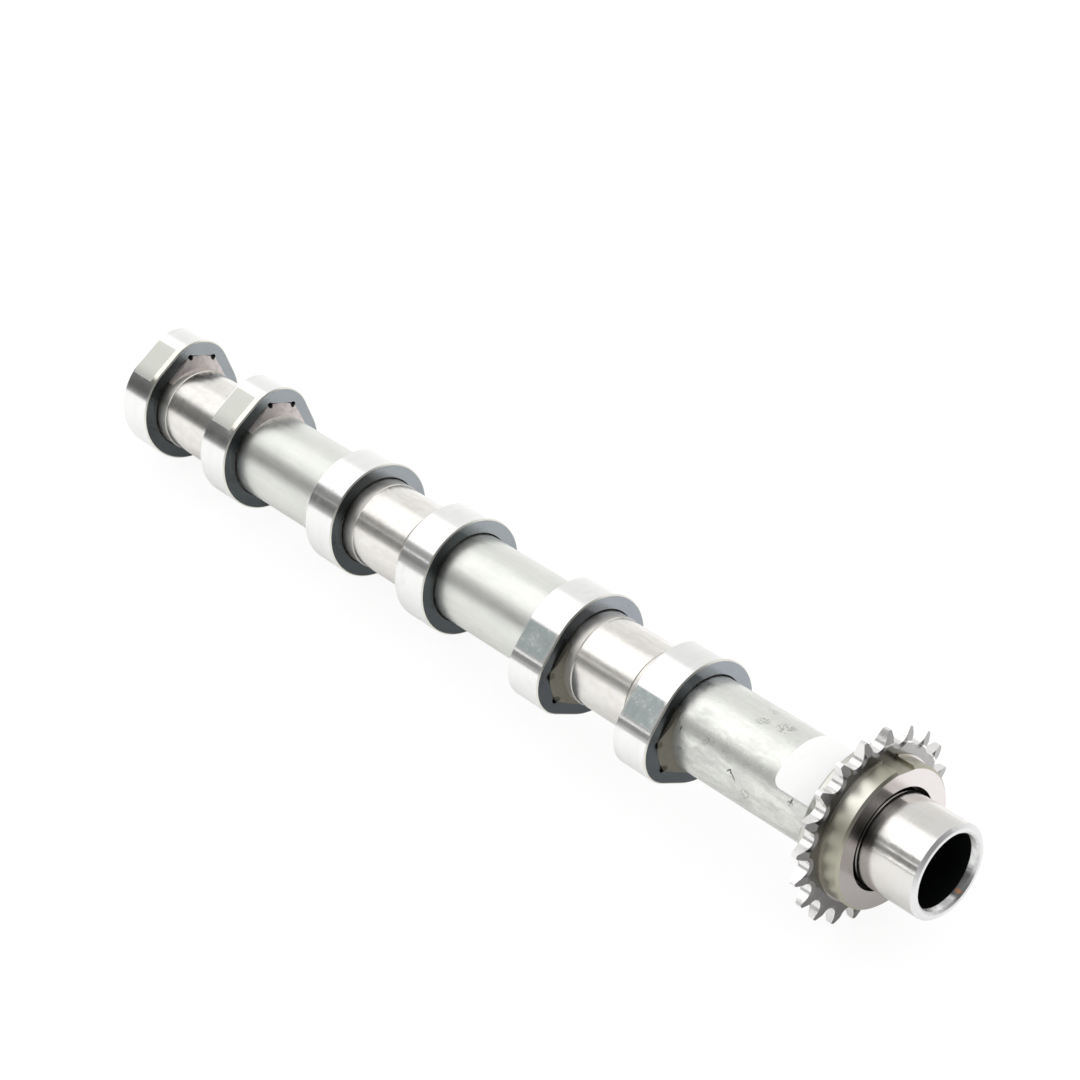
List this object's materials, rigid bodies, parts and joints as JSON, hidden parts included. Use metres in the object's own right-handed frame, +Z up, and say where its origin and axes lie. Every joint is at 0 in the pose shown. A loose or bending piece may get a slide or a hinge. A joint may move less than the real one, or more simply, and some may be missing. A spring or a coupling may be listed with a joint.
{
  "type": "camshaft",
  "caption": "Hollow steel tube with paired pressed-on cam lobes turned a third of a turn apart, a chain sprocket and a notched thrust collar behind its open nose, and a bare white label.",
  "frame": {"origin": "centre of the open nose face, on the shaft's axis", "axes": "+X out of the open nose along the shaft, the rear end towards -X; +Z up as the shaft lies in the picture; +Y away from the side that the picture shows"},
  "size_m": [0.3342, 0.0548, 0.0548],
  "materials": {
    "tube_steel": "drawn steel, bright ground nose and journals",
    "lobe_steel": "ground bright round the rim, dark hardened faces",
    "sprocket_steel": "dark hardened disc with bright tooth gaps",
    "collar_steel": "ground band and face",
    "label_white": "bare self-adhesive label"
  },
  "bodies": {
    "root": {"shaft_tube": "tube_steel", "lobe_1_front": "lobe_steel", "lobe_1_rear": "lobe_steel", "lobe_2_front": "lobe_steel", "lobe_2_rear": "lobe_steel", "lobe_3_front": "lobe_steel", "lobe_3_rear": "lobe_steel", "sprocket": "sprocket_steel", "thrust_collar": "collar_steel", "label": "label_white"}
  },
  "joints": []
}
